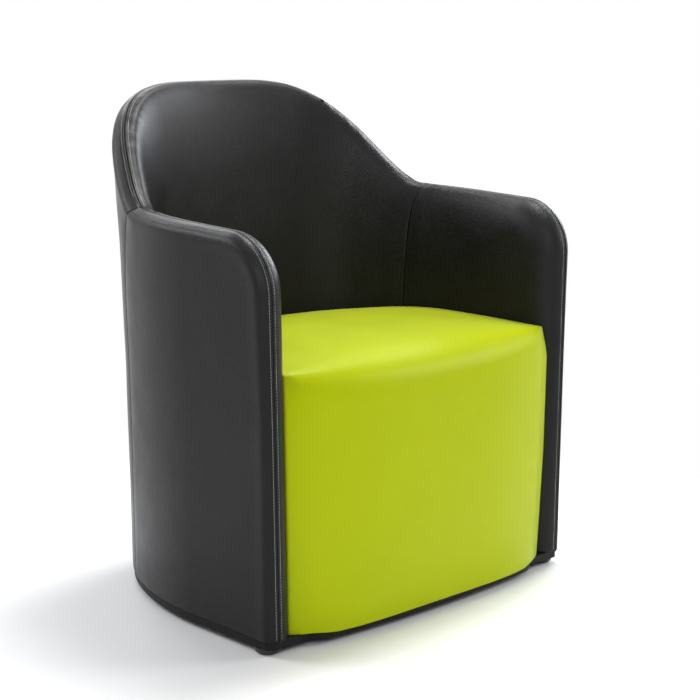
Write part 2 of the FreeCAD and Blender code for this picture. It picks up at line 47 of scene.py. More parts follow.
def addObject(name, data):
    made = bpy.data.objects.new(name, data)
    bpy.context.scene.collection.objects.link(made)
    return made


def setInputs(node, inputs):
    # a socket is linked, any other value is set
    for key, value in inputs.items():
        if isinstance(value, bpy.types.NodeSocket):
            node.id_data.links.new(value, node.inputs[key])
        else:
            node.inputs[key].default_value = value


def addNode(tree, kind, inputs=None, **settings):
    node = tree.nodes.new(kind)
    for key, value in settings.items():
        setattr(node, key, value)
    setInputs(node, inputs or {})
    return node


def times(tree, first, second):
    return addNode(tree, "ShaderNodeMath", {0: first, 1: second}, operation="MULTIPLY").outputs[0]


def newGroup(name, inputs, outputs, kind="ShaderNodeTree"):
    tree = bpy.data.node_groups.new(name, kind)
    for direction, sockets in (("INPUT", inputs), ("OUTPUT", outputs)):
        for label, valueKind in sockets.items():
            tree.interface.new_socket(label, in_out=direction, socket_type="NodeSocket" + valueKind)
    return tree, tree.nodes.new("NodeGroupInput").outputs, tree.nodes.new("NodeGroupOutput").inputs


def smoothShare(value, none=0.0, full=1.0):
    share = np.clip((value - none) / (full - none), 0, 1)
    return share * share * (3 - 2 * share)


def hump(distance, reach):
    return np.exp(-(distance / reach) ** 2)


def runAlong(points):
    return np.concatenate([[0], np.cumsum(np.linalg.norm(np.diff(points, axis=0), axis=1))])


photoView = {"azimuth": -43.86, "elevation": 11.007, "distance": 2.7561, "lens": 87.83,
             "sensor": 36.0, "target": (0.0720, -0.0002, 0.3548)}


def makeCamera():
    azimuth, elevation = (math.radians(photoView[key]) for key in ("azimuth", "elevation"))
    back = Vector((math.sin(azimuth) * math.cos(elevation), -math.cos(azimuth) * math.cos(elevation),
                   math.sin(elevation)))
    camera = addObject("photoCamera", bpy.data.cameras.new("photoCamera"))
    camera.data.lens, camera.data.sensor_width = photoView["lens"], photoView["sensor"]
    camera.location = Vector(photoView["target"]) + back * photoView["distance"]
    camera.rotation_euler = back.to_track_quat("Z", "Y").to_euler()
    bpy.context.scene.camera = camera


makeCamera()
print("camera set")

# The shell's plan and rim, the same sizes as in the part's source
shellForm = {
    "backHeight": 0.780, "armHeight": 0.5935, "armRise": math.tan(math.radians(2.4)),
    "halfWidth": 0.310, "front": 0.2475, "back": 0.2545, "level": 0.496,
    "lean": math.tan(math.radians(0.95)),
    "backRadius": 0.510, "backAngle": math.radians(16.3), "cornerAngle": math.radians(42.0),
    "sideRadius": 0.438, "riseStart": 0.428, "riseEnd": 0.948, "riseSkew": 1.72,
    "armCorner": 0.0845, "coverFloor": 0.022,
}


def planArcs():
    # the half plan as three arcs: (centre, radius, first angle, last angle)
    f = shellForm
    first, second = f["backAngle"], f["backAngle"] + f["cornerAngle"]
    corner = (f["halfWidth"] - f["backRadius"] * math.sin(first)
              - f["sideRadius"] * (1 - math.sin(second))) / (math.sin(second) - math.sin(first))
    radii = [f["backRadius"], corner, f["sideRadius"]]
    angles = [0.0, first, second, math.pi / 2]
    centres = [(0.0, f["back"] - f["backRadius"])]
    for i in (0, 1):
        step = radii[i] - radii[i + 1]
        centres.append((centres[i][0] + step * math.sin(angles[i + 1]),
                        centres[i][1] + step * math.cos(angles[i + 1])))
    return [(centres[i], radii[i], angles[i], angles[i + 1]) for i in range(3)]


arcs = planArcs()
arcLengths = [radius * (end - start) for _, radius, start, end in arcs]
curvedLength = sum(arcLengths)
halfRim = curvedLength + arcs[2][0][1] + shellForm["front"]


def wallPoint(station, offset, z):
    # points of the wall: station along the rim from the middle of the back, offset outwards, height
    station, offset, z = np.broadcast_arrays(station, offset, z)
    away = np.abs(station)
    x = np.full(away.shape, shellForm["halfWidth"])
    y = arcs[2][0][1] - (away - curvedLength)
    outX, outY = np.ones(away.shape), np.zeros(away.shape)
    done = 0.0
    for ((centreX, centreY), radius, start, _), length in zip(arcs, arcLengths):
        inside = (away >= done) & (away < done + length)
        angle = start + (away - done) / radius
        x = np.where(inside, centreX + radius * np.sin(angle), x)
        y = np.where(inside, centreY + radius * np.cos(angle), y)
        outX = np.where(inside, np.sin(angle), outX)
        outY = np.where(inside, np.cos(angle), outY)
        done += length
    grown = offset + shellForm["lean"] * (z - shellForm["level"])
    return np.stack([np.sign(station + 1e-12) * (x + outX * grown), y + outY * grown, z], axis=-1)


def rimHeight(station):
    f = shellForm
    fromFront = halfRim - np.abs(station)
    arm = f["armHeight"] + f["armRise"] * np.minimum(fromFront, f["riseStart"] * halfRim)
    share = np.clip((fromFront / halfRim - f["riseStart"]) / (f["riseEnd"] - f["riseStart"]), 0, 1)
    return arm + (f["backHeight"] - arm) * smoothShare(1 - (1 - share) ** f["riseSkew"])


rimSteps = {"top": 900, "corner": 60, "front": 400}


def traceRim():
    # the rim seam on the unrolled wall, from the middle of the back to the foot of the arm front:
    # length along it, station, height and the direction into the wall
    f = shellForm
    radius, slope = f["armCorner"], math.hypot(1, f["armRise"])
    centre = halfRim - radius
    centreZ = float(rimHeight(centre)) - radius * slope
    top = np.linspace(0, centre + radius * f["armRise"] / slope, rimSteps["top"])
    topZ = rimHeight(top)
    rise = np.gradient(topZ, top)
    turn = np.linspace(math.atan2(1, f["armRise"]), 0, rimSteps["corner"])[1:]
    down = np.linspace(centreZ, f["coverFloor"], rimSteps["front"])[1:]
    station = np.concatenate([top, centre + radius * np.cos(turn), np.full(down.shape, halfRim)])
    z = np.concatenate([topZ, centreZ + radius * np.sin(turn), down])
    inS = np.concatenate([rise / np.hypot(1, rise), -np.cos(turn), np.full(down.shape, -1.0)])
    inZ = np.concatenate([-1 / np.hypot(1, rise), -np.sin(turn), np.zeros(down.shape)])
    length = np.concatenate([[0], np.cumsum(np.hypot(np.diff(station), np.diff(z)))])
    return {"length": length, "station": station, "z": z, "inS": inS, "inZ": inZ}


rim = traceRim()
rimLength = rim["length"][-1]
cornerEnd = rimSteps["top"] + rimSteps["corner"] - 1
cornerMiddle = float(np.interp(halfRim - shellForm["armCorner"] * (1 - math.sqrt(0.5)),
                               rim["station"][:cornerEnd], rim["length"][:cornerEnd]))


def rimPlace(along, depth):
    # station and height at a depth below the rim seam
    sign, along = np.sign(along + 1e-12), np.abs(along)
    station, z, inS, inZ = (np.interp(along, rim["length"], rim[key])
                            for key in ("station", "z", "inS", "inZ"))
    return sign * (station + inS * depth), z + inZ * depth


# How a cover goes over the rim: a fold into the seam groove, a flat flange with the stitches,
# a padded ridge, then the face. "side" is 1 outside and -1 inside the tub.
outerCover = {"side": 1, "flat": 0.001, "bendsFrom": 0.00165, "nose": (0.0175, 0.0175), "face": 0.0185,
              "ridge": 0.0013, "cornerRidge": 0.0, "ridgeAt": 0.027, "ridgeWidths": (0.008, 0.013),
              "flangeDip": 0.0009, "dipAt": 0.013, "pucker": 0.00016, "puckerReach": 0.012}
innerCover = {"side": -1, "flat": 0.0025, "bendsFrom": 0.0025, "nose": (0.037, 0.053), "face": 0.0395,
              "ridge": 0.0002, "cornerRidge": 0.0010, "ridgeAt": 0.022, "ridgeWidths": (0.010, 0.026),
              "flangeDip": 0.0003, "dipAt": 0.009, "pucker": 0.00080, "puckerReach": 0.022}
rimSeam = {"halfGap": 0.0004, "foldRadius": 0.0013, "foldDepths": (0.0052, 0.0034, 0.0022),
           "foldTurn": (0, 22, 45, 68, 90), "stitchAt": 0.0060, "stitchValley": 0.00040,
           "stripDepth": 0.064}
rimPadding = {"from": 0.001, "cornerAt": 0.215, "cornerReach": 0.130, "stitchReach": 0.0022,
              "dipReach": 0.006}
panelMesh = {"step": 0.0045, "noseStep": 0.0021, "firstStep": 0.0032, "growth": 1.12,
             "footStep": 0.0062, "lastStep": 0.002, "leather": 0.0013, "seamReach": 0.170,
             "turnFade": 0.004, "fieldMap": 0.08, "slopeProbe": 0.002}
# turned-in edges: distance from the edge and how far the leather draws in there
seamTurn = [(0.00012, 0.0040), (0.00014, 0.0016), (0.0003, 0.00085), (0.0007, 0.00035),
            (0.0014, 0.00008), (0.0026, 0.0), (0.0045, 0.0), (0.0070, 0.0), (0.0100, 0.0), (0.0135, 0.0)]
floorTurn = [(0.0, 0.0060), (0.0, 0.0020), (0.0004, 0.0011), (0.0012, 0.00045), (0.0024, 0.0001),
             (0.0045, 0.0), (0.0080, 0.0)]
openEnd = [(0.0, 0.0)]
outerHollow = {"waist": 0.0058, "foot": 0.0038, "footReach": 0.250, "top": 0.0185}
innerRoll = {"drop": 0.150, "fullness": 0.70, "fades": (0.46, 0.62)}


def coverProfile(cover):
    # section points (offset, depth), their outward normals and the distance from the seam
    gap, fold = rimSeam["halfGap"], rimSeam["foldRadius"]
    points = [(gap, depth) for depth in rimSeam["foldDepths"]]
    points += [(gap + fold - fold * math.cos(a), fold - fold * math.sin(a))
               for a in np.radians(rimSeam["foldTurn"])]
    flat, (reach, drop) = cover["flat"], cover["nose"]
    first = math.asin((max(gap + fold, flat) - flat) / reach)
    steps = int((reach + drop) / 2 * math.pi / 2 / panelMesh["noseStep"])
    points += [(flat + reach * math.sin(a), drop - drop * math.cos(a))
               for a in np.linspace(first, math.pi / 2, steps + 1)[1:]]
    depth, step = drop, panelMesh["firstStep"]
    while depth + step < rimSeam["stripDepth"] - panelMesh["lastStep"]:
        depth += step
        points.append((cover["face"], depth))
        step = min(step * panelMesh["growth"], panelMesh["step"])
    points = np.array(points + [(cover["face"], rimSeam["stripDepth"])])
    tangent = np.gradient(points, axis=0)
    tangent /= np.linalg.norm(tangent, axis=1)[:, None] + 1e-12
    normals = np.stack([tangent[:, 1], -tangent[:, 0]], axis=1)
    run = runAlong(points)
    return points, normals, run - run[len(rimSeam["foldDepths"])] + gap


def ridgeLift(cover, fromSeam, along):
    # padding over the plain section: pinched at the stitches, drawn in beside them, full at the ridge
    near, far = cover["ridgeWidths"]
    away = fromSeam - cover["ridgeAt"]
    corner = hump(np.abs(along) - rimPadding["cornerAt"], rimPadding["cornerReach"])
    ridge = (cover["ridge"] + cover["cornerRidge"] * corner) * hump(away, np.where(away < 0, near, far))
    pinch = rimSeam["stitchValley"] * hump(fromSeam - rimSeam["stitchAt"], rimPadding["stitchReach"])
    dip = cover["flangeDip"] * hump(fromSeam - cover["dipAt"], rimPadding["dipReach"])
    return np.where(fromSeam > rimPadding["from"], ridge - pinch - dip, 0.0)


def quarterRound(depth, drop):
    return np.sqrt(1 - (1 - np.clip(depth / drop, 0.0001, 1)) ** 2)


def seatedFace(cover, station, z):
    # offset of the cover's face: the outside draws in at the waist and towards the foot,
    # the inside is a longer, softer roll on the back and wings than on the arms
    if cover["side"] < 0:
        probe = panelMesh["slopeProbe"]
        slope = (rimHeight(station + probe) - rimHeight(station - probe)) / (2 * probe)
        depth = (rimHeight(station) - z) / np.hypot(1, slope)
        short, share = cover["nose"][1], smoothShare(np.abs(station), *innerRoll["fades"])
        drop = innerRoll["drop"] + (short - innerRoll["drop"]) * share
        fullness = innerRoll["fullness"] + (1 - innerRoll["fullness"]) * share
        ratio = quarterRound(depth, drop) ** fullness / quarterRound(depth, short)
        return cover["flat"] + (cover["face"] - cover["flat"]) * ratio
    low, top = shellForm["coverFloor"], rimHeight(station) - outerHollow["top"]
    share = np.clip((z - low) / (top - low), 0, 1)
    foot = np.clip(1 - (z - low) / outerHollow["footReach"], 0, 1) ** 2
    return cover["face"] - outerHollow["waist"] * np.sin(math.pi * share) - outerHollow["foot"] * foot


# Small folds across the rim, strongest where the wall turns its corners, and the slow waves of
# the leather: waves are (pitch, shift, seed), fields are (size, seed, height)
puckers = {"waves": ((62.0, 3.7, 0.4), (140.0, 9.1, 2.4)), "fineShare": 0.5, "cornerAt": 0.235,
           "cornerReach": 0.090, "everywhere": 0.35, "middle": 0.010, "from": 0.0012, "easing": 0.003}
wrinkles = {"fields": ((0.11, 2.0, 0.0008), (0.045, 5.0, 0.00028)), "from": 0.004, "easing": 0.02}


def softNoise(points, size, seed):
    # smooth random field over points, about -1 to 1
    shift = Vector((seed * 17.3, seed * 5.1, seed * 29.7))
    return np.array([noise.noise(Vector(p) / size + shift) for p in points])


def pucker(cover, along, fromSeam):
    wave, fine = (np.array([noise.noise(Vector((a * pitch, shift * cover["side"], seed)))
                            for a in along.ravel()]) for pitch, shift, seed in puckers["waves"])
    bend = hump(np.abs(along) - puckers["cornerAt"], puckers["cornerReach"])
    window = (hump(fromSeam - puckers["middle"], cover["puckerReach"])
              * np.clip((fromSeam - puckers["from"]) / puckers["easing"], 0, 1))
    wave = (wave + puckers["fineShare"] * fine).reshape(along.shape)
    return cover["pucker"] * (puckers["everywhere"] + bend) * wave * window


# The plain vertical seams between back and arms: height of the seam and its place along Y
outerSideSeam = {"heights": (0.022, 0.460, 0.541, 0.582), "y": (0.134, 0.134, 0.1165, 0.1006),
                 "joinsRimAt": 0.379}
innerSideSeam = {"heights": (0.022, 0.411, 0.466, 0.521, 0.553, 0.578, 0.596),
                 "y": (0.0545, 0.0538, 0.0526, 0.0500, 0.0484, 0.0440, 0.0380), "joinsRimAt": 0.402}
seamLineForm = {"points": 620, "past": 0.02, "smoothing": 41, "search": (0.25, 0.55, 900)}
sidePadding = {"swell": 0.0005, "swellAt": 0.017, "swellReach": 0.010, "draw": 0.00045, "drawReach": 0.006}


def seamStations(cover, seam):
    # station of a vertical seam by height, smoothed, up to where it joins the rim
    (_, centreY), radius, start, _ = arcs[2]
    heights, stations = list(seam["heights"]), []
    for z, y in zip(seam["heights"], seam["y"]):
        grown = cover["side"] * cover["face"] + shellForm["lean"] * (z - shellForm["level"])
        angle = math.acos((y - centreY) / (radius + grown))
        stations.append(sum(arcLengths[:2]) + radius * (angle - start))
    heights.append(float(rimHeight(seam["joinsRimAt"])))
    stations.append(seam["joinsRimAt"])
    z = np.linspace(heights[0], heights[-1] + seamLineForm["past"], seamLineForm["points"])
    line = np.interp(z, heights, stations)
    slope = (stations[-1] - stations[-2]) / (heights[-1] - heights[-2])
    line = np.where(z > heights[-1], stations[-1] + slope * (z - heights[-1]), line)
    half = seamLineForm["smoothing"] // 2
    onwards = line[-1] + slope * (z[1] - z[0]) * np.arange(1, half + 1)
    kernel = np.hanning(seamLineForm["smoothing"])
    padded = np.concatenate([np.full(half, line[0]), line, onwards])
    return z, np.convolve(padded, kernel / kernel.sum(), mode="valid")


def seamOnRim(seamLine, depths):
    # length along the rim at which the vertical seam crosses each depth
    along = np.linspace(*seamLineForm["search"])
    found = []
    for depth in depths:
        station, height = rimPlace(along, depth)
        found.append(float(np.interp(0.0, station - np.interp(height, *seamLine), along)))
    return np.array(found)


def spread(length, startTable, endTable, step):
    # positions from 0 to length, close at both ends as the tables say and even between
    first, last = [d for d, _ in startTable], [length - d for d, _ in endTable][::-1]
    count = max(2, int(round((last[0] - first[-1]) / step)))
    return np.concatenate([first, np.linspace(first[-1], last[0], count + 1)[1:-1], last])


def tableTurn(table, count, reverse=False):
    turn = np.zeros(count)
    turn[:len(table)] = [t for _, t in table]
    return turn[::-1] if reverse else turn


def sideSwell(distance):
    # slight draw at a vertical seam and the padding beside it
    p = sidePadding
    swell = p["swell"] * hump(distance - p["swellAt"], p["swellReach"])
    return swell - p["draw"] * hump(distance, p["drawReach"])


def coons(top, bottom, left, right):
    # grid between four edges, each an array of points in the plane
    reach, drop = runAlong(top), runAlong(right)
    u, v = (reach / reach[-1])[None, :, None], (drop / drop[-1])[:, None, None]
    sides = (1 - u) * left[:, None] + u * right[:, None]
    ends = (1 - v) * top[None] + v * bottom[None]
    corners = ((1 - u) * (1 - v) * top[0] + u * (1 - v) * top[-1]
               + (1 - u) * v * bottom[0] + u * v * bottom[-1])
    return sides + ends - corners


def gridFaces(index):
    a, b, c, d = index[:-1, :-1], index[1:, :-1], index[1:, 1:], index[:-1, 1:]
    return np.stack([a, b, c, d], axis=-1).reshape(-1, 4)


def facing(points, faces, outward):
    # the faces turned to look along outward
    corner = points[faces]
    normal = np.cross(corner[:, 2] - corner[:, 0], corner[:, 3] - corner[:, 1])
    return faces[:, ::-1] if (normal * outward[faces[:, 0]]).sum() < 0 else faces


def makeMesh(name, points, faces, uv=None):
    mesh = bpy.data.meshes.new(name)
    mesh.from_pydata(points.tolist(), [], faces.tolist())
    mesh.polygons.foreach_set("use_smooth", [True] * len(mesh.polygons))
    if uv is not None:
        layer = mesh.uv_layers.new(name="seamMap")
        layer.data.foreach_set("uv", uv[faces.ravel()].ravel())
    mesh.update()
    return addObject(name, mesh)


def coverPoints(cover, along, offset, depth):
    # points over the rim at the section's offsets and depths, the nose scaled to meet the face
    station, z = rimPlace(along, depth)
    start = cover["bendsFrom"]
    scale = (seatedFace(cover, station, z) - start) / (cover["face"] - start)
    offset = np.where(offset > start, start + (offset - start) * scale, offset)
    return wallPoint(station, cover["side"] * offset, z)


def panelRun(start, isArm):
    # a panel's places along the rim, their distance from the side seam, how far the edges turn in
    # there, and the place at the arm's corner: an arm runs from its foot up and back to the seam
    step = panelMesh["step"]
    if isArm:
        lower = spread(rimLength - cornerMiddle, floorTurn, openEnd, step)
        upper = spread(cornerMiddle - start, openEnd, seamTurn, step)[1:]
        along = np.concatenate([rimLength - lower, cornerMiddle - upper])
        seamIn, floorIn = tableTurn(seamTurn, len(along), True), tableTurn(floorTurn, len(along))
        return along, along - start, seamIn, floorIn, len(lower) - 1
    along = spread(2 * start, seamTurn, seamTurn, step) - start
    seamIn = tableTurn(seamTurn, len(along)) + tableTurn(seamTurn, len(along), True)
    return along, start - np.abs(along), seamIn, np.zeros(len(along)), 0


def stretched(run, full, wanted):
    # lengthened towards the far end, so that full becomes wanted
    return run + (wanted - full) * (run / full) ** 2


def fieldEdges(edge, seamLine, along, distance, middle):
    # the four edges of the field below the strip, on the unrolled wall: the strip's lower edge, the
    # foot, the arm front or the far side seam, and the side seam
    floor = shellForm["coverFloor"]
    top, full = edge[middle:], distance[middle:].max()
    if middle:
        left = edge[:middle + 1][::-1]
        high = left[0, 1] - left[-1, 1]
        z = left[-1, 1] + stretched(left[:, 1] - left[-1, 1], high, top[-1, 1] - left[-1, 1])
    else:
        high = float(rimHeight(0.0)) - rimSeam["stripDepth"] - floor
        height = spread(high, floorTurn, openEnd, panelMesh["footStep"])[::-1]
        z = stretched(height, high, top[-1, 1] - floor) + floor
    right = np.stack([np.interp(z, *seamLine), z], axis=1)
    right[:, 0] += top[-1, 0] - right[0, 0]
    seamFoot = right[-1, 0]
    if middle:
        foot = seamFoot + stretched(distance[middle:], full, left[-1, 0] - seamFoot)
    else:
        left = right * (-1, 1)
        foot = np.sign(along) * (seamFoot - stretched(distance, full, seamFoot))
    return top, np.stack([foot, np.full(len(foot), floor)], axis=1), left, right


def makePanel(name, cover, seam, isArm, mirror=False):
    # a strip over the rim and a field below it, stitched into one sheet and given its thickness
    profile, normals, fromSeam = coverProfile(cover)
    seamLine = seamStations(cover, seam)
    crossing = seamOnRim(seamLine, profile[:, 1])
    rimRow = len(rimSeam["foldDepths"]) + len(rimSeam["foldTurn"]) - 1     # on top of the rim
    start = crossing[rimRow]
    crossing[:rimRow] = start
    along, distance, seamIn, floorIn, middle = panelRun(start, isArm)
    weight = np.clip(1 - distance / panelMesh["seamReach"], 0, 1) ** 2 * np.sign(along)
    alongGrid = along[None, :] + (crossing - start)[:, None] * weight[None, :]
    swell = sideSwell(distance)
    lift = ridgeLift(cover, fromSeam[:, None], alongGrid) + pucker(cover, alongGrid, fromSeam[:, None])
    fade = np.clip(0.5 + fromSeam / panelMesh["turnFade"], 0, 1)[:, None]
    lift = lift + (swell - seamIn)[None, :] * fade - floorIn[None, :] * fade
    offset, depth = (profile[:, i][:, None] + normals[:, i][:, None] * lift for i in (0, 1))
    strip = coverPoints(cover, alongGrid, offset, depth)
    stripIndex = np.arange(alongGrid.size).reshape(alongGrid.shape)
    stripUv = np.stack([alongGrid, np.broadcast_to(fromSeam[:, None], alongGrid.shape)], axis=-1)

    edge = np.stack(rimPlace(alongGrid[-1], rimSeam["stripDepth"]), axis=1)
    field = coons(*fieldEdges(edge, seamLine, along, distance, middle))
    fieldFloor = floorIn[:middle + 1][::-1] if isArm else tableTurn(floorTurn, len(field), True)
    face = seatedFace(cover, field[..., 0], field[..., 1])
    face = face - fieldFloor[:, None] - seamIn[None, middle:] + swell[None, middle:]
    fieldPoints = wallPoint(field[..., 0], cover["side"] * face, field[..., 1])
    fieldUv = np.stack([field[..., 0], np.full(face.shape, panelMesh["fieldMap"])], axis=-1)
    fieldIndex, fresh = np.empty(face.shape, int), np.ones(face.shape, bool)
    fieldIndex[0], fresh[0] = stripIndex[-1, middle:], False
    if isArm:
        fieldIndex[:, 0], fresh[:, 0] = stripIndex[-1, :middle + 1][::-1], False
    fieldIndex[fresh] = stripIndex.size + np.arange(fresh.sum())

    points = np.concatenate([strip.reshape(-1, 3), fieldPoints[fresh]])
    uv = np.concatenate([stripUv.reshape(-1, 2), fieldUv[fresh]])
    outward = (points - (0.0, -0.05, 0.0)) * (1, 1, 0) * cover["side"]
    if mirror:
        points, outward = points * (-1, 1, 1), outward * (-1, 1, 1)
    wrinkle = sum(softNoise(points, size, seed) * height for size, seed, height in wrinkles["fields"])
    wrinkle = wrinkle * np.clip((uv[:, 1] - wrinkles["from"]) / wrinkles["easing"], 0, 1)
    points = points + outward / np.linalg.norm(outward, axis=1)[:, None] * wrinkle[:, None]
    faces = [facing(points, gridFaces(index), outward) for index in (stripIndex, fieldIndex)]
    made = makeMesh(name, points, np.concatenate(faces), uv)
    wall = made.modifiers.new("leather", "SOLIDIFY")
    wall.thickness, wall.offset = panelMesh["leather"], -1.0
    return made


shellPanels = []
for side, cover, seam in (("outside", outerCover, outerSideSeam), ("inside", innerCover, innerSideSeam)):
    made = makePanel(side + "BackPanel", cover, seam, isArm=False)
    shellPanels.append((made, (side + "_back_cover", side + "_back_foam")))
    for hand in ("left", "right"):
        made = makePanel(hand + side.title() + "ArmPanel", cover, seam, isArm=True, mirror=hand == "left")
        shellPanels.append((made, (f"{hand}_{side}_arm_cover", f"{hand}_{side}_arm_foam")))
print("shell panels:", ", ".join(made.name for made, _ in shellPanels))

rimStitching = {"Stitch Pitch": 0.0044, "Stitch Length": 0.0031, "Thread Radius": 0.00048,
                "Stitch Height": 0.00050, "Slant": 0.12, "Seed": 7}
threadForm = {"around": 6, "along": 5, "sink": -0.9, "sway": (0.6, 1.4)}
railForm = {"fromEnds": 0.006, "step": 0.0015, "probe": 0.001}
rimTapeForm = {"halfWidth": 0.0030, "depths": (0.0050, 0.0032), "fromEnds": (0.001, 0.0005), "step": 0.004}


def stitchTree():
    # a thread stitch on every pitch of the rails, along them and proud of the cover
    sockets = {"Geometry": "Geometry", "Stitch Pitch": "Float", "Stitch Length": "Float",
               "Thread Radius": "Float", "Stitch Height": "Float", "Slant": "Float", "Seed": "Int",
               "Thread": "Material"}
    tree, given, result = newGroup("rimStitching", sockets, {"Geometry": "Geometry"}, "GeometryNodeTree")
    rails = addNode(tree, "GeometryNodeMeshToCurve", {"Mesh": given["Geometry"]})
    evenly = addNode(tree, "GeometryNodeResampleCurve", {"Curve": rails.outputs["Curve"]}, mode="LENGTH")
    setInputs(evenly, {"Length": given["Stitch Pitch"]})

    # one stitch: a thread bowed over the leather, both ends sunk into it
    half = times(tree, given["Stitch Length"], 0.5)
    sink = times(tree, given["Stitch Height"], threadForm["sink"])
    start, end = (addNode(tree, "ShaderNodeCombineXYZ", {"X": x, "Z": sink}).outputs[0]
                  for x in (times(tree, half, -1.0), half))
    crown = addNode(tree, "ShaderNodeCombineXYZ", {"Z": given["Stitch Height"]}).outputs[0]
    bow = addNode(tree, "GeometryNodeCurveQuadraticBezier",
                  {"Resolution": threadForm["along"], "Start": start, "Middle": crown, "End": end})
    thread = addNode(tree, "GeometryNodeCurvePrimitiveCircle",
                     {"Resolution": threadForm["around"], "Radius": given["Thread Radius"]})
    sweep = addNode(tree, "GeometryNodeCurveToMesh", {"Curve": bow.outputs["Curve"], "Fill Caps": True})
    setInputs(sweep, {"Profile Curve": thread.outputs["Curve"]})
    smooth = addNode(tree, "GeometryNodeSetShadeSmooth", {"Geometry": sweep.outputs["Mesh"]})

    # turned along the rail and upright on the cover, with a slight uneven slant
    tangent = addNode(tree, "GeometryNodeInputTangent").outputs["Tangent"]
    ahead = addNode(tree, "FunctionNodeAlignRotationToVector", {"Vector": tangent}, axis="X")
    outward = addNode(tree, "GeometryNodeInputNamedAttribute", {"Name": "outward"}, data_type="FLOAT_VECTOR")
    upright = addNode(tree, "FunctionNodeAlignRotationToVector",
                      {"Rotation": ahead.outputs["Rotation"], "Vector": outward.outputs["Attribute"]},
                      axis="Z", pivot_axis="X")
    least, most = threadForm["sway"]
    sway = addNode(tree, "FunctionNodeRandomValue", {2: least, 3: most, "Seed": given["Seed"]},
                   data_type="FLOAT").outputs[1]
    yaw = addNode(tree, "ShaderNodeCombineXYZ", {"Z": times(tree, sway, given["Slant"])})
    turn = addNode(tree, "FunctionNodeEulerToRotation", {0: yaw.outputs[0]})
    placed = addNode(tree, "FunctionNodeRotateRotation",
                     {"Rotation": upright.outputs["Rotation"], "Rotate By": turn.outputs[0]},
                     rotation_space="LOCAL")

    scatter = addNode(tree, "GeometryNodeInstanceOnPoints",
                      {"Points": evenly.outputs["Curve"], "Instance": smooth.outputs["Geometry"],
                       "Rotation": placed.outputs["Rotation"]})
    real = addNode(tree, "GeometryNodeRealizeInstances", {"Geometry": scatter.outputs["Instances"]})
    finish = addNode(tree, "GeometryNodeSetMaterial",
                     {"Geometry": real.outputs["Geometry"], "Material": given["Thread"]})
    tree.links.new(finish.outputs["Geometry"], result["Geometry"])
    return tree


def rimLine(cover, fromSeam):
    # points along the whole rim at a distance from the seam, with outward directions
    profile, normals, distance = coverProfile(cover)
    along = np.arange(-rimLength + railForm["fromEnds"], rimLength - railForm["fromEnds"], railForm["step"])
    x, z = (np.interp(fromSeam, distance, profile[:, i]) for i in (0, 1))
    nx, nz = (np.interp(fromSeam, distance, normals[:, i]) for i in (0, 1))
    lift = ridgeLift(cover, fromSeam, along)
    low, high = (coverPoints(cover, along, x + nx * height, z + nz * height)
                 for height in (lift, lift + railForm["probe"]))
    return low, (high - low) / railForm["probe"]


def makeStitches(name, covers, tree, threadFinish):
    # rails beside the seam on each cover, stitched by the node tree and made a plain mesh
    points, edges, outward = [], [], []
    for cover in covers:
        line, out = rimLine(cover, rimSeam["stitchAt"])
        first = len(points)
        points += line.tolist()
        outward += out.tolist()
        edges += [(first + i, first + i + 1) for i in range(len(line) - 1)]
    rails = bpy.data.meshes.new(name + "Rails")
    rails.from_pydata(points, edges, [])
    attribute = rails.attributes.new("outward", "FLOAT_VECTOR", "POINT")
    attribute.data.foreach_set("vector", np.array(outward).ravel())
    holder = addObject(name + "Rails", rails)
    modifier = holder.modifiers.new("stitches", "NODES")
    modifier.node_group = tree
    values = {**rimStitching, "Thread": threadFinish}
    for item in tree.interface.items_tree:
        if item.in_out == "INPUT" and item.name in values:
            modifier[item.identifier] = values[item.name]
    evaluated = holder.evaluated_get(bpy.context.evaluated_depsgraph_get())
    mesh = bpy.data.meshes.new_from_object(evaluated)
    mesh.name = name
    bpy.data.objects.remove(holder)
    return addObject(name, mesh)


def makeRimTape():
    # dark tape behind the rim seam, so nothing shows through the groove
    wide, (deep, high), (first, last) = (rimTapeForm[key] for key in ("halfWidth", "depths", "fromEnds"))
    along = np.arange(-rimLength + first, rimLength - last, rimTapeForm["step"])
    rings = []
    for offset, depth in ((-wide, deep), (-wide, high), (wide, high), (wide, deep)):
        station, z = rimPlace(along, depth)
        rings.append(wallPoint(station, offset, z))
    index = np.arange(len(rings) * len(along)).reshape(len(rings), -1)
    faces = gridFaces(np.concatenate([index, index[:1]]))
    caps = np.array([index[:, 0], index[::-1, -1]])
    return makeMesh("rimTape", np.concatenate(rings), np.concatenate([faces, caps]))


# The seat: one upholstered block, crowned between the arms, with a bowed front
seatBlock = {
    "gapToWall": 0.0005, "front": 0.2775, "crown": 0.416, "crest": -0.041, "backFall": 0.5716,
    "frontFall": 0.12, "frontFallFrom": -0.08, "sideDrop": 0.014, "sideReach": 0.269,
    "foot": 0.022, "lip": 0.0045, "leather": 0.0012,
    "tuck": 0.0068, "tuckFrom": 0.313,                        # the front draws in towards the foot
    "cornerLevels": (0.0175, 0.065, 0.115, 0.20, 0.35, 0.37, 0.395, 0.41),
    "cornerY": (-0.2285, -0.2300, -0.2315, -0.2335, -0.2340, -0.2318, -0.2265, -0.2240),
    "bowLevels": (0.03, 0.12), "bowPower": (4.9, 3.7), "corner": 0.005, "cornerPower": 16,
    "middleEdge": (0.100, 0.070), "endEdge": (0.022, 0.022), "sewnEdge": 0.0035,
    "lipFades": (0.205, 0.2535), "leastLip": 0.0005,          # the lip ends where the board comes forward
    "frontFrom": -0.2, "edgeLevel": 0.39, "levels": (0.42, 24), "backCorner": 0.215,
    "rounding": (1.2, 1.4),                                   # how full the top edge is, in and down
    "frontCount": 58, "sideCount": 76, "faceRows": 44, "edgeRows": 16,
    "closeRun": 0.034, "closeCount": 16,                      # the last run of the front is divided finer
}
